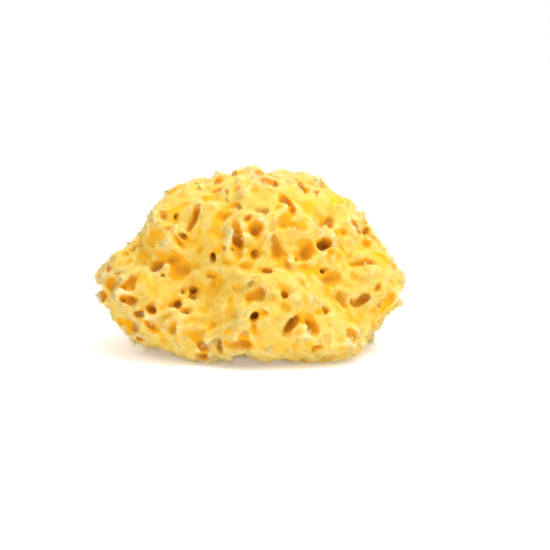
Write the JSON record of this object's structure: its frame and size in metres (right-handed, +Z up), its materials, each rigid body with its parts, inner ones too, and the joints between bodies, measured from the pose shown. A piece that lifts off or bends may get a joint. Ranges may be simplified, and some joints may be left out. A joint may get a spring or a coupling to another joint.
{
  "type": "sea sponge",
  "caption": "Natural honeycomb sea sponge: one lobed, porous, springy body, domed above and cut flat where it grew, for bathing and washing.",
  "frame": {"origin": "middle of the flat cut that the sponge rests on, under the centre of its bounding box", "axes": "+X to the right along the longest side, +Y away from the front, +Z up out of the flat cut"},
  "size_m": [0.15, 0.114, 0.087],
  "materials": {
    "spongin": "matte felted spongin fibre, washed and bleached yellow"
  },
  "bodies": {
    "root": {"sponge": "spongin"}
  },
  "joints": []
}
